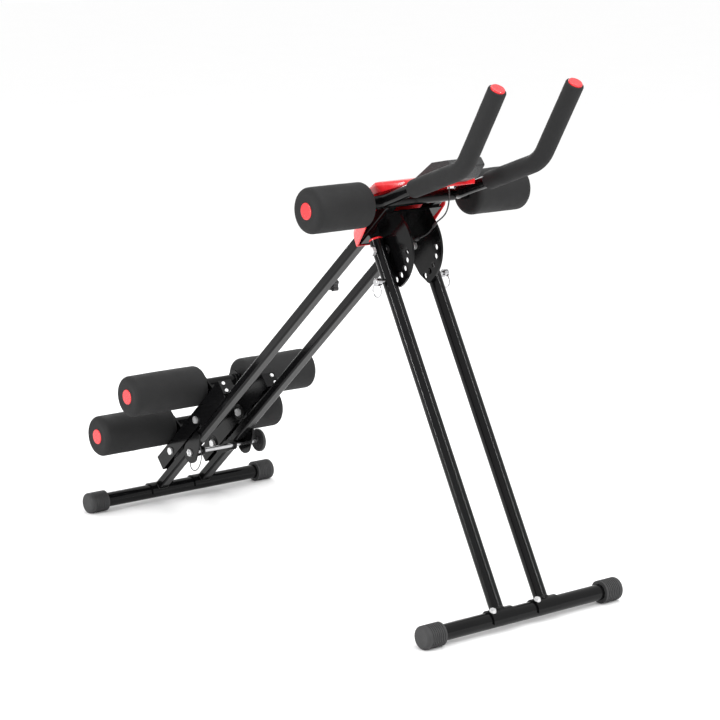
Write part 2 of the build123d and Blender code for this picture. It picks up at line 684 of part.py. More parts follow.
# ---------------------------------------------------------------- handlebars, grips, cross bar
with BuildPart() as bar_shape:
    with BuildLine():
        FilletPolyline(
            (ELBOW_REACH, AXLE[0] - SHIFT_Y, AXLE[1]),
            (ARM_X, AXLE[0] - SHIFT_Y, AXLE[1]),
            (ARM_X, BAR_BEND[0] - SHIFT_Y, BAR_BEND[1]),
            (ARM_X, BAR_TOP[0] - SHIFT_Y, BAR_TOP[1]),
            radius=[SIDE_BEND_R, UPPER_BEND_R],
        )
    with BuildSketch(Plane(origin=(ELBOW_REACH, AXLE[0] - SHIFT_Y, AXLE[1]), z_dir=(-1, 0, 0))):
        Circle(ARM_R)
        Circle(ARM_R - TUBE_WALL, mode=Mode.SUBTRACT)
    sweep()

with BuildPart() as bar_solid:
    with BuildLine():
        FilletPolyline(
            (ELBOW_REACH, AXLE[0] - SHIFT_Y, AXLE[1]),
            (ARM_X, AXLE[0] - SHIFT_Y, AXLE[1]),
            (ARM_X, BAR_BEND[0] - SHIFT_Y, BAR_BEND[1]),
            radius=[SIDE_BEND_R],
        )
    with BuildSketch(Plane(origin=(ELBOW_REACH, AXLE[0] - SHIFT_Y, AXLE[1]), z_dir=(-1, 0, 0))):
        Circle(ARM_R)
    sweep()

fall = (BAR_BEND[1] - AXLE[1]) / (AXLE[0] - BAR_BEND[0])
grip_y = AXLE[0] - GRIP_START
grip_z = AXLE[1] + fall * (AXLE[0] - grip_y)
with BuildPart() as grip_shape:
    with BuildLine():
        FilletPolyline(
            (ARM_X, grip_y - SHIFT_Y, grip_z),
            (ARM_X, BAR_BEND[0] - SHIFT_Y, BAR_BEND[1]),
            (ARM_X, BAR_TOP[0] - SHIFT_Y, BAR_TOP[1]),
            radius=[UPPER_BEND_R],
        )
    with BuildSketch(Plane(origin=(ARM_X, grip_y - SHIFT_Y, grip_z), z_dir=(0, -1, fall))):
        Circle(GRIP_R)
        Circle(ARM_R, mode=Mode.SUBTRACT)
    sweep()

TOP_DIR = (0, BAR_TOP[0] - BAR_BEND[0], BAR_TOP[1] - BAR_BEND[1])
for side, sign in SIDES:
    with BuildPart() as handlebar:
        add(bar_shape.part if sign > 0 else bar_shape.part.mirror(Plane.YZ))
    handlebar.part.label = f"{side}_handlebar"
    export_step(handlebar.part, f"parts/{side}_handlebar.step")

    with BuildPart() as grip:
        add(grip_shape.part if sign > 0 else grip_shape.part.mirror(Plane.YZ))
    grip.part.label = f"{side}_grip"
    export_step(grip.part, f"parts/{side}_grip.step")

with BuildPart() as grip_plugs:
    for side, sign in SIDES:
        top_plane = Plane(
            origin=(sign * ARM_X, BAR_TOP[0] - SHIFT_Y, BAR_TOP[1]), x_dir=(1, 0, 0), z_dir=TOP_DIR
        )
        with BuildSketch(top_plane):
            Circle(14)
        extrude(amount=4)
    fillet(grip_plugs.edges().filter_by(GeomType.CIRCLE).group_by(Axis.Z)[-1], 2.5)
    for side, sign in SIDES:
        top_plane = Plane(
            origin=(sign * ARM_X, BAR_TOP[0] - SHIFT_Y, BAR_TOP[1]), x_dir=(1, 0, 0), z_dir=TOP_DIR
        )
        with BuildSketch(top_plane):
            Circle(ARM_R - TUBE_WALL)
        extrude(amount=-14)
grip_plugs.part.label = "grip_plugs"
export_step(grip_plugs.part, "parts/grip_plugs.step")

with BuildPart() as elbow_cross_bar:
    with BuildSketch(side_plane(0)):
        with Locations(AXLE):
            Circle(TUBE_R)
            Circle(TUBE_R - TUBE_WALL, mode=Mode.SUBTRACT)
    extrude(amount=ARM_X + 8, both=True)
    add(bar_solid.part, mode=Mode.SUBTRACT)
    add(bar_solid.part.mirror(Plane.YZ), mode=Mode.SUBTRACT)
    with BuildSketch(side_plane(0)):
        with Locations(AXLE):
            Circle(TUBE_R + 1)
    extrude(amount=ARM_X, both=True, mode=Mode.INTERSECT)
elbow_cross_bar.part.label = "elbow_cross_bar"
export_step(elbow_cross_bar.part, "parts/elbow_cross_bar.step")

# ---------------------------------------------------------------- red cowl and console
# Their outlines are distances back from the elbow axle and above it.
COWL_WALL = 3.0
COWL_TOP = (
    (105.2, -69.9), (73.2, -18.9), (39.2, 21.1), (-4.8, 42.1),
    (-73.8, 53.1), (-101.8, 47.1),
)
COWL_RIM = (
    (-104.8, 36.1), (-73.8, 42.1), (-26.8, 26.1), (23.2, 11.1),
    (27.2, -24.9), (45.2, -55.9), (86.2, -98.9),
)
COWL_HOLLOW = (
    (118.2, -84.9), (74.2, -23.9), (38.2, 16.6), (-5.8, 38.1),
    (-73.8, 49.7), (-97.8, 44.1), (-97.8, -181.9), (118.2, -181.9),
)
COWL_PLAN = ((107.2, 75), (53.2, 88), (23.2, 104), (-4.8, 112), (-56.8, 96), (-106.8, 60))


def plan_outline(inset):
    """Both edges of the cowl seen from above, drawn in by inset."""
    right = [(x - inset, AXLE[0] + back - SHIFT_Y) for back, x in COWL_PLAN]
    left = [(-x, y) for x, y in reversed(right)]
    return right + left


with BuildPart() as cowl_block:
    with BuildSketch(side_plane(0)):
        with BuildLine():
            Polyline(*map(beside_axle, COWL_TOP + COWL_RIM), close=True)
        make_face()
    extrude(amount=FOOT_SPAN / 2, both=True)
    with BuildSketch(Plane.XY):
        with BuildLine():
            Polyline(*plan_outline(0), close=True)
        make_face()
    extrude(amount=2 * AXLE[1], mode=Mode.INTERSECT)

with BuildPart() as cowl_hollow:
    with BuildSketch(side_plane(0)):
        with BuildLine():
            Polyline(*map(beside_axle, COWL_HOLLOW), close=True)
        make_face()
    extrude(amount=FOOT_SPAN / 2, both=True)
    with BuildSketch(Plane.XY):
        with BuildLine():
            Polyline(*plan_outline(COWL_WALL), close=True)
        make_face()
    extrude(amount=2 * AXLE[1], mode=Mode.INTERSECT)

with BuildPart() as cowl:
    add(cowl_block.part)
    add(cowl_hollow.part, mode=Mode.SUBTRACT)
    with BuildSketch(side_plane(0)):
        with Locations(beside_axle((118.2, -81.9))):
            Rectangle(30, 100)
    extrude(amount=COWL_PLAN[0][1] - COWL_WALL, both=True, mode=Mode.SUBTRACT)
cowl.part.label = "cowl"
export_step(cowl.part, "parts/cowl.step")

CONSOLE_SIDE = (
    (-40.8, 44.1), (-96.8, 84.1), (-144.8, 94.1), (-156.8, 80.1),
    (-136.8, 54.1), (-102.8, 42.1), (-73.8, 48.1),
)
CONSOLE_HALF = 41.0
SCREEN_WIDTH = 60.0
SCREEN_HEIGHT = 30.0
SCREEN_DEEP = 1.6
BUTTON_R = 5.0
BUTTON_TRAVEL = 1.2
face_low = beside_axle(CONSOLE_SIDE[0])
face_high = beside_axle(CONSOLE_SIDE[1])
face_long = math.hypot(face_high[0] - face_low[0], face_high[1] - face_low[1])
face_normal = ((face_high[1] - face_low[1]) / face_long, (face_low[0] - face_high[0]) / face_long)
face_plane = Plane(
    origin=(0, (face_low[0] + face_high[0]) / 2 - SHIFT_Y, (face_low[1] + face_high[1]) / 2),
    x_dir=(-1, 0, 0),
    z_dir=(0, face_normal[0], face_normal[1]),
)
SCREEN_UP = -3.0
BUTTON_UP = 22.0
with BuildPart() as console_housing:
    with BuildSketch(side_plane(0)):
        with BuildLine():
            Polyline(*map(beside_axle, CONSOLE_SIDE), close=True)
        make_face()
    extrude(amount=CONSOLE_HALF, both=True)
    fillet(console_housing.edges().filter_by(Axis.X).sort_by(Axis.Z)[-3:], 4)
    add(cowl_block.part, mode=Mode.SUBTRACT)
    with BuildSketch(face_plane.offset(-SCREEN_DEEP)):
        with Locations((0, SCREEN_UP)):
            RectangleRounded(SCREEN_WIDTH, SCREEN_HEIGHT, 3)
    extrude(amount=20, mode=Mode.SUBTRACT)
    with BuildSketch(face_plane.offset(-6.5)):
        with Locations((0, BUTTON_UP)):
            Circle(BUTTON_R + CLEAR)
    extrude(amount=20, mode=Mode.SUBTRACT)
console_housing.part.label = "console_housing"
export_step(console_housing.part, "parts/console_housing.step")

with BuildPart() as console_screen:
    with BuildSketch(face_plane.offset(-SCREEN_DEEP)):
        with Locations((0, SCREEN_UP)):
            RectangleRounded(SCREEN_WIDTH, SCREEN_HEIGHT, 3)
    extrude(amount=1.2)
console_screen.part.label = "console_screen"
export_step(console_screen.part, "parts/console_screen.step")

with BuildPart() as console_button:
    with BuildSketch(face_plane.offset(-6.5 + BUTTON_TRAVEL + CLEAR)):
        with Locations((0, BUTTON_UP)):
            Circle(BUTTON_R)
    extrude(amount=6.5)
console_button.part.label = "console_button"
export_step(console_button.part, "parts/console_button.step")

# ---------------------------------------------------------------- stop knob
KNOB_THICK = 13.0
with BuildPart() as star_knob:
    with BuildSketch(rail_plane(-(RAIL_INNER - 6))):
        with Locations((KNOB_UP, 0)):
            Circle(KNOB_R - 4)
            with PolarLocations(KNOB_R - 5, 4):
                Circle(5)
    extrude(amount=-KNOB_THICK)
    fillet(star_knob.edges().group_by(Axis.X)[-1], 1.5)
    with BuildSketch(rail_plane(-(RAIL_INNER - CLEAR))):
        with Locations((KNOB_UP, 0)):
            Circle(7)
    extrude(amount=-6)
star_knob.part.label = "star_knob"
export_step(star_knob.part, "parts/star_knob.step")

with BuildPart() as knob_stud:
    with BuildSketch(rail_plane(-(RAIL_INNER - CLEAR))):
        with Locations((KNOB_UP, 0)):
            Circle(STUD_R)
    extrude(amount=8)
knob_stud.part.label = "knob_stud"
export_step(knob_stud.part, "parts/knob_stud.step")

# ---------------------------------------------------------------- cable and lanyard
CABLE_R = 1.5
LANYARD_R = 1.1
CABLE_ROUTE = (
    (31.0, 263.0, 828.8),
    (31.0, 263.6, 812.5),
    (30.6, 261.4, 793.5),
    (30.0, 262.6, 773.5),
    (29.8, 270.0, 756.5),
    (29.6, 284.0, 744.5),
    (29.4, 298.0, 736.0),
    (29.4, 309.0, 723.5),
    (29.6, 321.0, 712.0),
    (29.8, 335.5, 704.0),
    (30.0, 350.0, 697.5),
)
LANYARD_ROUTE = (
    (-72.1, 1015.0, 118.3),
    (-72.6, 1013.0, 110.0),
    (-73.6, 1004.0, 104.0),
    (-74.6, 991.0, 105.0),
    (-75.2, 979.0, 113.0),
    (-75.4, 970.5, 125.0),
    (-75.0, 966.5, 138.5),
    (-73.8, 968.0, 151.5),
    (-72.3, 974.5, 162.7),
)


def cord_radii(points):
    """Arc radius at each corner of a cord: as large as its two runs allow."""
    radii = []
    for before, corner, after in zip(points, points[1:], points[2:]):
        arriving = Vector(*corner) - Vector(*before)
        leaving = Vector(*after) - Vector(*corner)
        half_turn = math.radians(arriving.get_angle(leaving)) / 2
        radii.append(0.45 * min(arriving.length, leaving.length) / math.tan(half_turn))
    return radii


for name, route, radius in (("cable", CABLE_ROUTE, CABLE_R), ("lanyard", LANYARD_ROUTE, LANYARD_R)):
    points = [(x, y - SHIFT_Y, z) for x, y, z in route]
    radii = cord_radii(points)
    start = Vector(*points[1]) - Vector(*points[0])
    with BuildPart() as cord:
        with BuildLine() as path:
            FilletPolyline(*points, radius=radii)
        with BuildSketch(Plane(origin=points[0], z_dir=start)):
            Circle(radius)
        sweep()
    length = sum(edge.length for edge in path.edges())
    print(name, "radii", [round(r, 1) for r in radii], "length", round(length, 1))
    section = math.pi * radius**2
    print(name, "volume", round(cord.part.volume, 1), "section x length", round(section * length, 1))
    cord.part.label = name
    export_step(cord.part, f"parts/{name}.step")


def cord_piece_plane(route, index):
    """Plane square to a run of a route, at the run's first point."""
    x, y, z = route[index]
    onward = Vector(*route[index + 1]) - Vector(x, y, z)
    return Plane(origin=(x, y - SHIFT_Y, z), z_dir=onward)


with BuildPart() as cable_connector:
    with BuildSketch(cord_piece_plane(CABLE_ROUTE, 6).offset(2)):
        Circle(3.4)
    extrude(amount=12.5)
    chamfer(cable_connector.edges().filter_by(GeomType.CIRCLE), 0.8)
cable_connector.part.label = "cable_connector"
export_step(cable_connector.part, "parts/cable_connector.step")

with BuildPart() as cable_socket:
    with BuildSketch(cord_piece_plane(CABLE_ROUTE[-2:], 0).offset(15.9)):
        Circle(3.7)
    extrude(amount=11)
cable_socket.part.label = "cable_socket"
export_step(cable_socket.part, "parts/cable_socket.step")
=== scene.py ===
import json
import math

import bmesh
import bpy
from mathutils import Matrix, Vector, noise


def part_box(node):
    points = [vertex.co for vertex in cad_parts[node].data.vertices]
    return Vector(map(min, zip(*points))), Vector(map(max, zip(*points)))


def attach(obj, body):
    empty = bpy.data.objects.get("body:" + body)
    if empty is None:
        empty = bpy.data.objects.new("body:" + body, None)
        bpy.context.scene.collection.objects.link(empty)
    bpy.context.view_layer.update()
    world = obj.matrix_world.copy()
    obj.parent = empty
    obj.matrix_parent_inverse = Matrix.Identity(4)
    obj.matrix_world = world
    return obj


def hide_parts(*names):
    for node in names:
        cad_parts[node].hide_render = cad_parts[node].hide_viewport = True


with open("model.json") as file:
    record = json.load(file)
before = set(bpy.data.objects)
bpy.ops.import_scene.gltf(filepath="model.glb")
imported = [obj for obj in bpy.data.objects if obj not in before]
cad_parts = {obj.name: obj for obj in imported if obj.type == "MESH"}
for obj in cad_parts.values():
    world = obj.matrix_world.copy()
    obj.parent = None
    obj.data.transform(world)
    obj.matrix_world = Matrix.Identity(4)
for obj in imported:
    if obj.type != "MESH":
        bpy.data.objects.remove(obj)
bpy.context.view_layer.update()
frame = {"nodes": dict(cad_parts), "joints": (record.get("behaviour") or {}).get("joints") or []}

# ------------------------------------------------------------------ camera
# A long lens a little above the grips, looking back along the left side of the bench.
# Heading is turned from +Y towards +X; pitch is how far the lens looks down.
HEADING = math.radians(38.224)
PITCH = math.radians(12.327)
ROLL = math.radians(0.107)
camera = bpy.data.objects.new("camera", bpy.data.cameras.new("camera"))
camera.data.lens = 120.37
camera.data.sensor_width = 36.0
camera.data.clip_end = 40.0
look = Matrix.Rotation(-HEADING, 4, "Z") @ Matrix.Rotation(math.pi / 2 - PITCH, 4, "X")
look = look @ Matrix.Rotation(ROLL, 4, "Z")
camera.matrix_world = Matrix.Translation((-2.9614, -3.8350, 1.4754)) @ look
bpy.context.scene.collection.objects.link(camera)
bpy.context.scene.camera = camera


# ------------------------------------------------------------------ floor and light
# White studio paper in a white room, with one soft box overhead and three narrow strips whose
# reflections run along the tubes.
class Socket:
    """A shader value that takes part in arithmetic; each step adds a Math node."""

    def __init__(self, paint, socket):
        self.paint = paint
        self.socket = socket

    def maths(self, operation, first, second):
        return self.paint.node("ShaderNodeMath", {"operation": operation}, {0: first, 1: second})

    def __add__(self, other):
        return self.maths("ADD", self, other)

    def __radd__(self, other):
        return self.maths("ADD", other, self)

    def __sub__(self, other):
        return self.maths("SUBTRACT", self, other)

    def __rsub__(self, other):
        return self.maths("SUBTRACT", other, self)

    def __mul__(self, other):
        return self.maths("MULTIPLY", self, other)

    def __rmul__(self, other):
        return self.maths("MULTIPLY", other, self)


class Paint:
    """A finish being mixed: node() adds one node, and shader() sets the surface's own sockets."""

    def __init__(self, name):
        self.material = bpy.data.materials.new(name)
        self.material.use_nodes = True
        self.tree = self.material.node_tree
        self.surface = self.tree.nodes["Principled BSDF"]

    def feed(self, node, sockets):
        for name, value in sockets.items():
            if isinstance(value, Socket):
                self.tree.links.new(value.socket, node.inputs[name])
            else:
                node.inputs[name].default_value = value

    def node(self, kind, settings=None, sockets=None, output=0):
        made = self.tree.nodes.new(kind)
        for name, value in (settings or {}).items():
            if name == "stops":
                for element, (place, colour) in zip(made.color_ramp.elements, value):
                    element.position = place
                    element.color = (*colour, 1)
            else:
                setattr(made, name, value)
        self.feed(made, sockets or {})
        return Socket(self, made.outputs[output])

    def shader(self, **sockets):
        self.feed(self.surface, {name.replace("_", " "): value for name, value in sockets.items()})

    def place(self, output="Object"):
        return self.node("ShaderNodeTexCoord", output=output)

    def speckle(self, scale, detail=2.0, where=None, rough=0.5):
        where = where or self.place()
        sockets = {"Vector": where, "Scale": scale, "Detail": detail, "Roughness": rough}
        return self.node("ShaderNodeTexNoise", sockets=sockets)

    def cells(self, scale, feature="F1", where=None):
        where = where or self.place()
        return self.node("ShaderNodeTexVoronoi", {"feature": feature}, {"Vector": where, "Scale": scale})

    def between(self, amount, low, high):
        """Colour that runs from low to high as amount runs from 0 to 1."""
        return self.node("ShaderNodeValToRGB", {"stops": ((0.0, low), (1.0, high))}, {0: amount})

    def spread(self, amount, low, high, new_low, new_high):
        sockets = {"Value": amount, 1: low, 2: high, 3: new_low, 4: new_high}
        return self.node("ShaderNodeMapRange", sockets=sockets)

    def bump(self, height, depth, strength=1.0, under=None):
        sockets = {"Height": height, "Distance": depth, "Strength": strength}
        if under:
            sockets["Normal"] = under
        return self.node("ShaderNodeBump", sockets=sockets)


FLOOR_SIZE = 30.0
paper = Paint("studio_paper")
fibre = paper.speckle(3.0, 3.0)
paper.shader(Base_Color=paper.between(fibre, (0.975, 0.975, 0.975), (0.99, 0.99, 0.99)), Roughness=0.9)
floor_shape = bmesh.new()
bmesh.ops.create_grid(floor_shape, x_segments=2, y_segments=2, size=FLOOR_SIZE / 2)
floor_mesh = bpy.data.meshes.new("floor")
floor_shape.to_mesh(floor_mesh)
floor_shape.free()
floor = bpy.data.objects.new("floor", floor_mesh)
floor.data.materials.append(paper.material)
bpy.context.scene.collection.objects.link(floor)

room = bpy.data.worlds.new("room")
room.use_nodes = True
room.node_tree.nodes["Background"].inputs["Color"].default_value = (1.0, 1.0, 1.0, 1)
room.node_tree.nodes["Background"].inputs["Strength"].default_value = 1.0
bpy.context.scene.world = room
bpy.context.scene.view_settings.view_transform = "Standard"

for name, place, width, height, power in (
    ("over", (0.4, -0.6, 3.4), 2.4, 2.4, 34.0),
    ("left_strip", (-3.4, 0.2, 1.5), 0.10, 2.6, 60.0),
    ("right_strip", (0.9, -3.0, 2.9), 0.14, 3.2, 70.0),
    ("back_strip", (1.4, 3.4, 1.7), 0.3, 2.2, 24.0),
):
    lamp = bpy.data.objects.new(name + "_light", bpy.data.lights.new(name, "AREA"))
    lamp.data.shape = "RECTANGLE"
    lamp.data.size = width
    lamp.data.size_y = height
    lamp.data.energy = power
    lamp.location = place
    lamp.rotation_euler = (Vector((0, 0, 0.5)) - Vector(place)).to_track_quat("-Z", "Y").to_euler()
    bpy.context.scene.collection.objects.link(lamp)


# ------------------------------------------------------------------ cords
# The console's cable is a round black PVC lead from the housing down to its sensor socket; the
# lanyard is a thin braided cord that keeps the hinge rod with the left tail leg.
SHIFT_Y = -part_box("front_foot")[0].y - (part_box("front_foot")[1].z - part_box("front_foot")[0].z) / 2
MM = 0.001
CABLE_ROUTE = (
    (31.0, 263.0, 828.8),
    (31.0, 263.6, 812.5),
    (30.6, 261.4, 793.5),
    (30.0, 262.6, 773.5),
    (29.8, 270.0, 756.5),
    (29.6, 284.0, 744.5),
    (29.4, 298.0, 736.0),
    (29.4, 309.0, 723.5),
    (29.6, 321.0, 712.0),
    (29.8, 335.5, 704.0),
    (30.0, 350.0, 697.5),
)
LANYARD_ROUTE = (
    (-72.1, 1015.0, 118.3),
    (-72.6, 1013.0, 110.0),
    (-73.6, 1004.0, 104.0),
    (-74.6, 991.0, 105.0),
    (-75.2, 979.0, 113.0),
    (-75.4, 970.5, 125.0),
    (-75.0, 966.5, 138.5),
    (-73.8, 968.0, 151.5),
    (-72.3, 974.5, 162.7),
)

sheath = Paint("cord_sheath")
sheath_grain = sheath.speckle(2500.0, 3.0)
sheath.shader(
    Base_Color=sheath.between(sheath.speckle(300.0), (0.012, 0.012, 0.013), (0.035, 0.034, 0.034)),
    Roughness=sheath.spread(sheath_grain, 0.3, 0.7, 0.32, 0.52),
    Normal=sheath.bump(sheath_grain, 0.00006),
)

braid = Paint("braided_cord")
run_of_cord = braid.node("ShaderNodeSeparateXYZ", sockets={"Vector": braid.place("UV")})
around_cord = Socket(braid, run_of_cord.socket.node.outputs[1])
along_twist = run_of_cord * 260.0
round_twist = around_cord * 25.13
left_strand = braid.node("ShaderNodeMath", {"operation": "SINE"}, {0: along_twist + round_twist})
right_strand = braid.node("ShaderNodeMath", {"operation": "SINE"}, {0: along_twist - round_twist})
weave = left_strand.maths("MAXIMUM", left_strand, right_strand)
braid.shader(
    Base_Color=braid.between(weave, (0.004, 0.004, 0.004), (0.05, 0.05, 0.052)),
    Roughness=0.7,
    Normal=braid.bump(weave, 0.00018),
)


def cord_curve(name, route, radius, finish):
    """A smooth cord along its route, in metres, one spline with rounded section."""
    curve = bpy.data.curves.new(name, "CURVE")
    curve.dimensions = "3D"
    curve.bevel_depth = radius
    curve.bevel_resolution = 5
    curve.resolution_u = 12
    curve.use_fill_caps = True
    spline = curve.splines.new("NURBS")
    spline.points.add(len(route) - 1)
    for point, (x, y, z) in zip(spline.points, route):
        point.co = (x * MM, y * MM - SHIFT_Y, z * MM, 1)
    spline.order_u = 3
    spline.use_endpoint_u = True
    piece = bpy.data.objects.new(name, curve)
    curve.materials.append(finish.material)
    bpy.context.scene.collection.objects.link(piece)
    return piece


cable = cord_curve("console_cable", CABLE_ROUTE, 0.0015, sheath)
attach(cable, "frame")
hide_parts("cable")
lanyard = cord_curve("rod_lanyard", LANYARD_ROUTE, 0.0011, braid)
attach(lanyard, "frame")
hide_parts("lanyard")
for piece, route, length, diameter, extras in (
    (cable, CABLE_ROUTE, 0.1738, 0.003, [frame["nodes"]["cable_connector"]]),
    (lanyard, LANYARD_ROUTE, 0.1003, 0.0022, []),
):
    x, y, z = route[0]

# ------------------------------------------------------------------ painted steel
# Rails, legs, feet, plates and bars are steel, powder coated in gloss black: a hard skin with a
# faint orange peel, a little dust, and a sheen that breaks up where hands and shoes rub it.
black = Paint("gloss_black_powder_coat")
peel = black.speckle(1100.0, 2.0)
handled = black.speckle(14.0, 4.0)
dust = black.cells(900.0)
black.shader(
    Base_Color=black.between(handled, (0.0018, 0.0018, 0.002), (0.005, 0.005, 0.0053)),
    Roughness=black.spread(handled + dust * 0.2, 0.4, 0.9, 0.09, 0.17),
    Specular_IOR_Level=0.17,
    Normal=black.bump(peel, 0.00005),
)
STEEL = (
    "front_foot", "rear_foot", "left_front_leg", "right_front_leg", "saddles", "left_rail", "right_rail",
    "left_tail_leg", "right_tail_leg", "left_sector_plate", "right_sector_plate", "head_bracket",
    "hinge_lugs", "hinge_eyes", "carriage_inner_sides", "carriage_outer_sides", "carriage_end_plates",
    "cross_tubes", "left_handlebar", "right_handlebar", "elbow_cross_bar",
)


def coat(names, finish):
    """Gives CAD pieces their finish in every material slot."""
    for name in names:
        for slot in frame["nodes"][name].material_slots:
            slot.material = finish.material


coat(STEEL, black)

# ------------------------------------------------------------------ foot caps
# Pulled over the ends of both foot tubes: charcoal thermoplastic rubber with moulded grip ribs.
rubber = Paint("foot_rubber")
tooth = rubber.speckle(1900.0, 4.0, rough=0.7)
scuff = rubber.speckle(70.0, 5.0)
rubber.shader(
    Base_Color=rubber.between(scuff, (0.016, 0.016, 0.0165), (0.034, 0.034, 0.035)),
    Roughness=rubber.spread(tooth, 0.3, 0.7, 0.55, 0.78),
    Normal=rubber.bump(tooth, 0.00012),
)
coat(("front_foot_caps", "rear_foot_caps"), rubber)

# ------------------------------------------------------------------ bright hardware
# Nuts, bolts and screws are zinc plated, with a fine grain and a little grime in it; the pins,
# split rings and hinge rod are polished and chromed.
zinc = Paint("zinc_plate")
grain = zinc.speckle(1500.0, 4.0)
grime = zinc.speckle(240.0, 5.0, rough=0.65)
zinc.shader(
    Base_Color=zinc.between(grime, (0.60, 0.60, 0.61), (0.92, 0.92, 0.92)),
    Metallic=0.7,
    Roughness=zinc.spread(grime, 0.35, 0.65, 0.46, 0.26),
    Normal=zinc.bump(grain, 0.00003),
)
coat(("pivot_bolts", "wheel_bolts", "foot_bolts", "end_screws"), zinc)
chrome = Paint("chrome_plate")
smear = chrome.speckle(90.0, 5.0)
chrome.shader(
    Base_Color=chrome.between(smear, (0.40, 0.40, 0.41), (0.62, 0.62, 0.63)),
    Metallic=1.0,
    Roughness=chrome.spread(smear, 0.3, 0.7, 0.14, 0.28),
    Normal=chrome.bump(chrome.speckle(700.0), 0.00001),
)
coat(("left_pin", "right_pin", "left_ring", "right_ring", "hinge_rod", "knob_stud"), chrome)

# ------------------------------------------------------------------ moulded black plastic
# Wheels, bushes, knobs, the console's housing and the cable's plug are injection-moulded, with
# the fine spark texture of their tools.
moulded = Paint("moulded_black_plastic")
spark = moulded.cells(1700.0)
moulded.shader(
    Base_Color=moulded.between(moulded.speckle(60.0, 3.0), (0.014, 0.014, 0.015), (0.026, 0.026, 0.027)),
    Roughness=moulded.spread(spark, 0.0, 0.6, 0.36, 0.52),
    Normal=moulded.bump(spark, 0.00005),
)
coat(
    (
        "left_lower_wheel", "right_lower_wheel", "left_upper_wheel", "right_upper_wheel",
        "pivot_bushes", "star_knob", "rod_knob", "cable_connector", "cable_socket",
    ),
    moulded,
)

# ------------------------------------------------------------------ red plastic
# Roller caps, leg and grip plugs are glossy red polypropylene with faint flow marks.
red = Paint("gloss_red_plastic")
flow = red.speckle(40.0, 3.0)
red.shader(
    Base_Color=red.between(flow, (0.66, 0.012, 0.018), (0.80, 0.022, 0.028)),
    Roughness=red.spread(flow, 0.3, 0.7, 0.20, 0.34),
    Coat_Weight=0.3,
    Coat_Roughness=0.1,
    Normal=red.bump(red.speckle(900.0), 0.00003),
)
coat(("carriage_red_caps", "elbow_red_caps", "leg_plugs", "grip_plugs", "cowl"), red)

# ------------------------------------------------------------------ console
# A small display sits in the housing behind a clear lens, with one press button above it.
lcd = Paint("display")
rows = lcd.node("ShaderNodeTexWave", {"bands_direction": "X"}, {"Vector": lcd.place(), "Scale": 900.0})
lcd.shader(
    Base_Color=lcd.between(rows, (0.10, 0.12, 0.11), (0.14, 0.16, 0.145)),
    Roughness=lcd.spread(lcd.speckle(120.0), 0.3, 0.7, 0.08, 0.16),
    Coat_Weight=1.0,
    Coat_Roughness=0.03,
)
coat(("console_screen",), lcd)
stipple = Paint("console_stipple")
dots = stipple.cells(620.0)
stipple.shader(
    Base_Color=stipple.between(dots, (0.022, 0.022, 0.023), (0.008, 0.008, 0.009)),
    Roughness=stipple.spread(dots, 0.1, 0.6, 0.30, 0.55),
    Normal=stipple.bump(stipple.spread(dots, 0.1, 0.5, 1.0, 0.0), 0.0003),
)
coat(("console_housing",), stipple)
coat(("console_button",), red)

# ------------------------------------------------------------------ foam rollers
# Six closed-cell nitrile foam sleeves turn on the tubes. They are extruded, cut to length and
# ground round at the ends, so the skin is dull and finely pitted, and never quite true.
foam = Paint("nitrile_foam")
pits = foam.cells(1300.0)
skin = foam.speckle(420.0, 3.0)
blotch = foam.speckle(26.0, 4.0)
foam.shader(
    Base_Color=foam.between(blotch * 0.75 + skin * 0.25, (0.006, 0.006, 0.0062), (0.021, 0.021, 0.0215)),
    Roughness=foam.spread(blotch, 0.3, 0.7, 0.62, 0.84),
    Specular_IOR_Level=0.25,
    Normal=foam.bump(skin, 0.00025, 0.7, foam.bump(pits, 0.00018, 0.6)),
)
END_ROUND = 0.012
CORNER_STEPS = 8
BORE = 0.0122
CAP_HOLE = 0.0168
CAP_SEAT = 0.0083
DISH_R = 0.029
LIP_R = 0.021
BORE_PLAY = 0.0008
SIDE_STEPS = 36
SIDE_START = 0.09
AROUND = 96


def turned(bm, profile, centre):
    """Spins a closed profile of (along X, radius) points about the X line through centre."""
    corners = [bm.verts.new((x, centre.y, centre.z + r)) for x, r in profile]
    edges = [bm.edges.new((a, b)) for a, b in zip(corners, corners[1:] + corners[:1])]
    bmesh.ops.spin(
        bm, geom=corners + edges, cent=centre, axis=(1, 0, 0), dvec=(0, 0, 0),
        angle=2 * math.pi, steps=AROUND, use_merge=True, use_duplicate=False,
    )
    bmesh.ops.remove_doubles(bm, verts=bm.verts, dist=1e-6)
    bmesh.ops.recalc_face_normals(bm, faces=bm.faces)


def finished(name, bm, finish, body, sharp=40.0):
    """Turns a bmesh into a smooth-shaded piece that rides on a body."""
    mesh = bpy.data.meshes.new(name)
    bm.to_mesh(mesh)
    bm.free()
    mesh.shade_smooth()
    mesh.set_sharp_from_angle(angle=math.radians(sharp))
    mesh.materials.append(finish.material)
    piece = bpy.data.objects.new(name, mesh)
    bpy.context.scene.collection.objects.link(piece)
    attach(piece, body)
    return piece


def rounded_end(x, radius, inward):
    """Arc of profile points from a sleeve's end face to its side."""
    middle = x + inward * END_ROUND
    points = []
    for step in range(CORNER_STEPS + 1):
        turn = math.radians(90 * step / CORNER_STEPS)
        along = middle - inward * END_ROUND * math.cos(turn)
        points.append((along, radius - END_ROUND * (1 - math.sin(turn))))
    return points


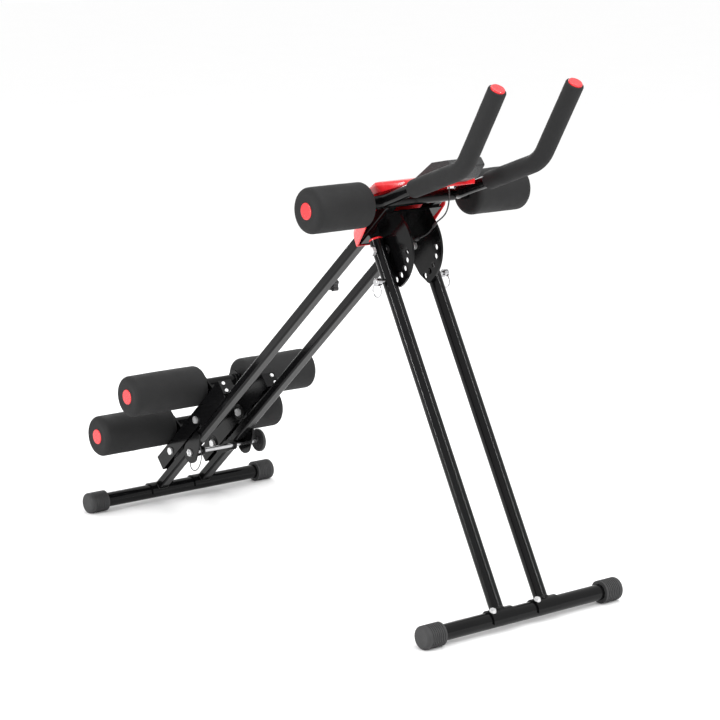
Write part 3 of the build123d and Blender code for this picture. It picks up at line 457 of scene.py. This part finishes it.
for side, sign in (("left", -1), ("right", 1)):
    for end in ("lower", "upper", "elbow"):
        node = f"{side}_{end}_foam"
        low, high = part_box(node)
        centre = Vector((0, (low.y + high.y) / 2, (low.z + high.z) / 2))
        radius = (high.z - low.z) / 2
        near, far = (low.x, high.x) if sign > 0 else (high.x, low.x)
        shares = [SIDE_START + (1 - 2 * SIDE_START) * step / SIDE_STEPS for step in range(SIDE_STEPS + 1)]
        profile = [(near, BORE + BORE_PLAY), (near + sign * 0.0006, LIP_R), (near, DISH_R)]
        profile += rounded_end(near, radius, sign)
        profile += [(near + (far - near) * share, radius) for share in shares]
        profile += reversed(rounded_end(far, radius, -sign))
        profile += [(far, DISH_R), (far - sign * 0.0008, LIP_R + 0.001), (far - sign * 0.0002, CAP_HOLE)]
        profile += [(far - sign * CAP_SEAT, CAP_HOLE), (far - sign * CAP_SEAT, BORE), (near, BORE)]
        sleeve = bmesh.new()
        turned(sleeve, profile, centre)
        seed = Vector((sign * 3.1, radius * 40, len(end)))
        for vert in sleeve.verts:
            out = Vector((0, vert.co.y - centre.y, vert.co.z - centre.z))
            if out.length > CAP_HOLE + 0.002:
                swell = noise.noise(vert.co * 22 + seed) * 0.0005
                swell += noise.noise(vert.co * 85 + seed) * 0.00016
                vert.co += out.normalized() * (swell - 0.0004)
        piece = finished(f"{node}_sleeve", sleeve, foam, node)
        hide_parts(node)

# ------------------------------------------------------------------ handle grips
# Each handlebar wears one long foam sleeve, pushed on wet and bent with the tube; its lower end
# is ground round and its top is closed by the red plug.
GRIP_R = 0.018
GRIP_BORE = 0.0127
UPPER_BEND_R = 0.070
AXLE = (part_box("elbow_cross_bar")[0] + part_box("elbow_cross_bar")[1]) / 2
ARM_X = 0.095
GRIP_BACK = 0.1068
GRIP_START = Vector((0, -GRIP_BACK, GRIP_BACK * 0.0931 / 0.2532))
BEND = Vector((0, -0.2532, 0.0931))
BAR_TOP = Vector((0, -0.3438, 0.2461))
rise = (BEND - GRIP_START).normalized()
lean = (BAR_TOP - BEND).normalized()
turn = rise.angle(lean)
straight = (BEND - GRIP_START).length - UPPER_BEND_R * math.tan(turn / 2)
upper = (BAR_TOP - BEND).length - UPPER_BEND_R * math.tan(turn / 2)
grip_length = straight + UPPER_BEND_R * turn + upper
bend_side = (lean - rise * lean.dot(rise)).normalized()


def along_bar(distance):
    """Point on the bar's centre line from the grip's lower end, and the bar's direction there."""
    if distance < straight:
        return GRIP_START + rise * distance, rise
    swept = min((distance - straight) / UPPER_BEND_R, turn)
    heading = rise * math.cos(swept) + bend_side * math.sin(swept)
    point = GRIP_START + rise * straight
    point += (rise * math.sin(swept) + bend_side * (1 - math.cos(swept))) * UPPER_BEND_R
    return point + heading * max(0.0, distance - straight - UPPER_BEND_R * turn), heading


GRIP_STEPS = 90
for side, sign in (("left", -1), ("right", 1)):
    profile = [(0.0, GRIP_BORE), (0.0, GRIP_R - 0.0035)]
    profile += [(0.0008, GRIP_R - 0.0014), (0.0026, GRIP_R - 0.0003)]
    for step in range(GRIP_STEPS + 1):
        profile.append((0.005 + (grip_length - 0.008) * step / GRIP_STEPS, GRIP_R))
    profile += [(grip_length - 0.0008, GRIP_R - 0.0008), (grip_length, GRIP_R - 0.0022)]
    profile += [(grip_length * (1 - step / GRIP_STEPS), GRIP_BORE) for step in range(GRIP_STEPS)]
    sleeve = bmesh.new()
    turned(sleeve, profile, Vector((0, 0, 0)))
    side_way = Vector((1, 0, 0))
    for vert in sleeve.verts:
        distance, across, off = vert.co
        outside = math.hypot(across, off)
        if outside > GRIP_BORE + 0.001:
            fit = 1 + noise.noise(Vector((distance * 60, across * 40 + sign, off * 40))) * 0.012
            across, off = across * fit, off * fit
        point, heading = along_bar(distance)
        vert.co = AXLE + point + side_way * (sign * ARM_X + across) + heading.cross(side_way) * off
    bmesh.ops.recalc_face_normals(sleeve, faces=sleeve.faces)
    piece = finished(f"{side}_grip_sleeve", sleeve, foam, "frame")
    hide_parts(f"{side}_grip")

# ------------------------------------------------------------------ cowl
# A glossy red moulding hides the joint of rails, axle and handlebars: 3 mm polypropylene, open
# underneath, with rounded ridges between its facets and a turned edge.
COWL_WALL = 0.003
COWL_STATIONS = (
    # back from the axle and above it: top edge, rim, and half width of each
    ((0.1052, -0.0699), (0.0862, -0.0989), 0.0750, 0.0790),
    ((0.0732, -0.0189), (0.0452, -0.0559), 0.0830, 0.0900),
    ((0.0552, 0.0050), (0.0272, -0.0249), 0.0870, 0.0990),
    ((0.0392, 0.0211), (0.0232, 0.0111), 0.0950, 0.1020),
    ((-0.0048, 0.0421), (-0.0268, 0.0261), 0.1120, 0.1050),
    ((-0.0738, 0.0531), (-0.0738, 0.0421), 0.0880, 0.0880),
    ((-0.1018, 0.0471), (-0.1048, 0.0361), 0.0640, 0.0610),
)
ACROSS = (-1.0, -1.0, -0.96, -0.85, -0.6, -0.3, 0.0, 0.3, 0.6, 0.85, 0.96, 1.0, 1.0)
DOWN = (1.0, 0.35, 0.06, 0.0, 0.0, 0.0, 0.0, 0.0, 0.0, 0.0, 0.06, 0.35, 1.0)
shell = bmesh.new()
rings = []
for top, rim, top_half, rim_half in COWL_STATIONS:
    ring = []
    for across, down in zip(ACROSS, DOWN):
        half = top_half + (rim_half - top_half) * down
        y = top[0] + (rim[0] - top[0]) * down
        z = top[1] + (rim[1] - top[1]) * down
        ring.append(shell.verts.new((across * half, AXLE.y + y, AXLE.z + z)))
    rings.append([shell.edges.new(pair) for pair in zip(ring, ring[1:])])
for lower_ring, upper_ring in zip(rings, rings[1:]):
    bmesh.ops.bridge_loops(shell, edges=lower_ring + upper_ring)
for ring in (rings[0], rings[-1]):
    ends = [vert for edge in (ring[0], ring[-1]) for vert in edge.verts if len(vert.link_edges) <= 2]
    closing = shell.edges.new(ends)
    bmesh.ops.contextual_create(shell, geom=ring + [closing])
bmesh.ops.recalc_face_normals(shell, faces=shell.faces)
cowl = finished("red_cowl", shell, red, "frame", sharp=60.0)
for kind, settings in (
    ("SOLIDIFY", {"thickness": COWL_WALL, "offset": -1.0, "use_even_offset": True}),
    ("BEVEL", {"width": 0.0022, "segments": 4, "limit_method": "ANGLE", "angle_limit": math.radians(9)}),
):
    modifier = cowl.modifiers.new(kind.lower(), kind)
    for setting, value in settings.items():
        setattr(modifier, setting, value)
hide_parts("cowl")

# ------------------------------------------------------------------ welds
# Tubes are joined by a single run of weld, ground little and painted over: a low rippled bead
# round each leg where it meets its saddle, and round the roller tubes at the carriage's sides.
bead = Paint("painted_weld")
ripple = bead.speckle(520.0, 2.0)
bead.shader(
    Base_Color=bead.between(ripple, (0.003, 0.003, 0.003), (0.009, 0.009, 0.009)),
    Roughness=bead.spread(ripple, 0.3, 0.7, 0.22, 0.36),
    Specular_IOR_Level=0.24,
    Normal=bead.bump(ripple, 0.0004),
)
BEAD_POINTS = 64


def weld(name, body, loops, radius=0.0014):
    """Closed beads of weld; each loop is a function of the turn round the joint."""
    curve = bpy.data.curves.new(name, "CURVE")
    curve.dimensions = "3D"
    curve.bevel_depth = radius
    curve.bevel_resolution = 3
    curve.resolution_u = 2
    for loop in loops:
        spline = curve.splines.new("NURBS")
        spline.points.add(BEAD_POINTS - 1)
        for index, point in enumerate(spline.points):
            point.co = (*loop(2 * math.pi * index / BEAD_POINTS), 1)
            point.radius = 1 + 0.22 * (index % 2)
        spline.order_u = 3
        spline.use_cyclic_u = True
    curve.materials.append(bead.material)
    piece = bpy.data.objects.new(name, curve)
    bpy.context.scene.collection.objects.link(piece)
    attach(piece, body)


def box_middle(node):
    low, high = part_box(node)
    return (low + high) / 2


FRONT_FOOT = box_middle("front_foot")
REAR_FOOT = box_middle("rear_foot")
SADDLE_R = 0.0195
LEG_R = 0.014
LEG_X = 0.0566
RAIL_X = 0.0576
SIDE_FACES = (0.0409, 0.0439)
BEAD_OFF = 0.0006
JOINTS = {joint["name"]: joint for joint in frame["joints"]}
PIVOT = Vector(JOINTS["front_leg_fold"]["pos_m"])
leg_way = Vector((0, PIVOT.y - FRONT_FOOT.y, PIVOT.z - FRONT_FOOT.z)).normalized()
rail_way = Vector(JOINTS["carriage_slide"]["axis"])
rail_up = Vector((0, rail_way.z, -rail_way.y))


def leg_loop(x):
    def at(turn):
        out = LEG_R * math.cos(turn)
        height = math.sqrt(SADDLE_R**2 - out**2)
        across = Vector((0, -leg_way.z, leg_way.y)) * LEG_R * math.sin(turn)
        return FRONT_FOOT + Vector((x + out, 0, 0)) + across + leg_way * height

    return at


def tail_loop(x, half_wide=0.0125, half_high=0.010, lift=0.0036):
    def at(turn):
        cos, sin = math.cos(turn), math.sin(turn)
        out = half_wide * math.copysign(abs(cos) ** 0.45, cos)
        high = lift + half_high * math.copysign(abs(sin) ** 0.45, sin)
        reach = math.sqrt(SADDLE_R**2 - high**2)
        return REAR_FOOT + Vector((x + out, 0, 0)) + rail_up * high + rail_way * reach

    return at


def ring_loop(x, centre, radius):
    def at(turn):
        return Vector((x, centre.y + radius * math.cos(turn), centre.z + radius * math.sin(turn)))

    return at


weld("front_leg_welds", "front_legs", [leg_loop(sign * LEG_X) for sign in (-1, 1)])
weld("tail_leg_welds", "tail_legs", [tail_loop(sign * RAIL_X) for sign in (-1, 1)])
tube_welds = []
for end in ("lower", "upper"):
    middle = box_middle(f"left_{end}_foam")
    for sign in (-1, 1):
        for face_x in (SIDE_FACES[0] - BEAD_OFF, SIDE_FACES[1] + BEAD_OFF):
            tube_welds.append(ring_loop(sign * face_x, middle, BORE))
weld("roller_tube_welds", "carriage", tube_welds, 0.0012)


# ------------------------------------------------------------------ lug nut
# A zinc-plated hexagon nut is welded on the outside of the left hinge lug, and the threaded end
# of the hinge rod screws into it.
NUT_R = 0.0088
NUT_BORE = 0.0052
NUT_THICK = 0.0042
NUT_EDGE = 0.0005
HINGE = Vector(JOINTS["tail_fold"]["pos_m"])
nut = bmesh.new()
bmesh.ops.create_circle(nut, segments=6, radius=NUT_R)
bmesh.ops.subdivide_edges(nut, edges=nut.edges, cuts=3)
bmesh.ops.create_circle(nut, segments=24, radius=NUT_BORE)
bmesh.ops.bridge_loops(nut, edges=nut.edges[:])
lifted = bmesh.ops.extrude_face_region(nut, geom=nut.faces[:])
moved = [item for item in lifted["geom"] if isinstance(item, bmesh.types.BMVert)]
bmesh.ops.translate(nut, verts=moved, vec=(0, 0, NUT_THICK))
bmesh.ops.recalc_face_normals(nut, faces=nut.faces)
corners = [edge for edge in nut.edges if edge.calc_face_angle(0) > math.radians(50)]
bmesh.ops.bevel(nut, geom=corners, offset=NUT_EDGE, segments=2, affect="EDGES", profile=0.5, material=-1)
outside_lug = Matrix.Translation((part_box("hinge_lugs")[0].x, HINGE.y, HINGE.z))
facing_left = Matrix.Rotation(-math.pi / 2, 4, "Y")
bmesh.ops.transform(nut, matrix=outside_lug @ facing_left, verts=nut.verts)
finished("lug_nut", nut, zinc, "frame", sharp=30.0)

# ------------------------------------------------------------------ pressed rims
# The inner side plates of the carriage are pressed into a shallow round rim about each wheel's
# nut, painted with the plate.
RIM_R = 0.0165
RIM_WIRE = 0.0011
RIM_POINTS = 10
WHEEL_TO_FACE = 0.0167
INNER_SHARE = 0.74
rims = bmesh.new()
for name in ("left_lower_wheel", "left_upper_wheel", "right_lower_wheel", "right_upper_wheel"):
    low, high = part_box(name)
    middle = (low + high) / 2
    face = middle.x - math.copysign(WHEEL_TO_FACE, middle.x)
    for radius in (RIM_R, RIM_R * INNER_SHARE):
        turns = [2 * math.pi * step / RIM_POINTS for step in range(RIM_POINTS)]
        ring = [(face + RIM_WIRE * math.cos(turn), radius + RIM_WIRE * math.sin(turn)) for turn in turns]
        turned(rims, ring, middle)
finished("pressed_rims", rims, black, "carriage")
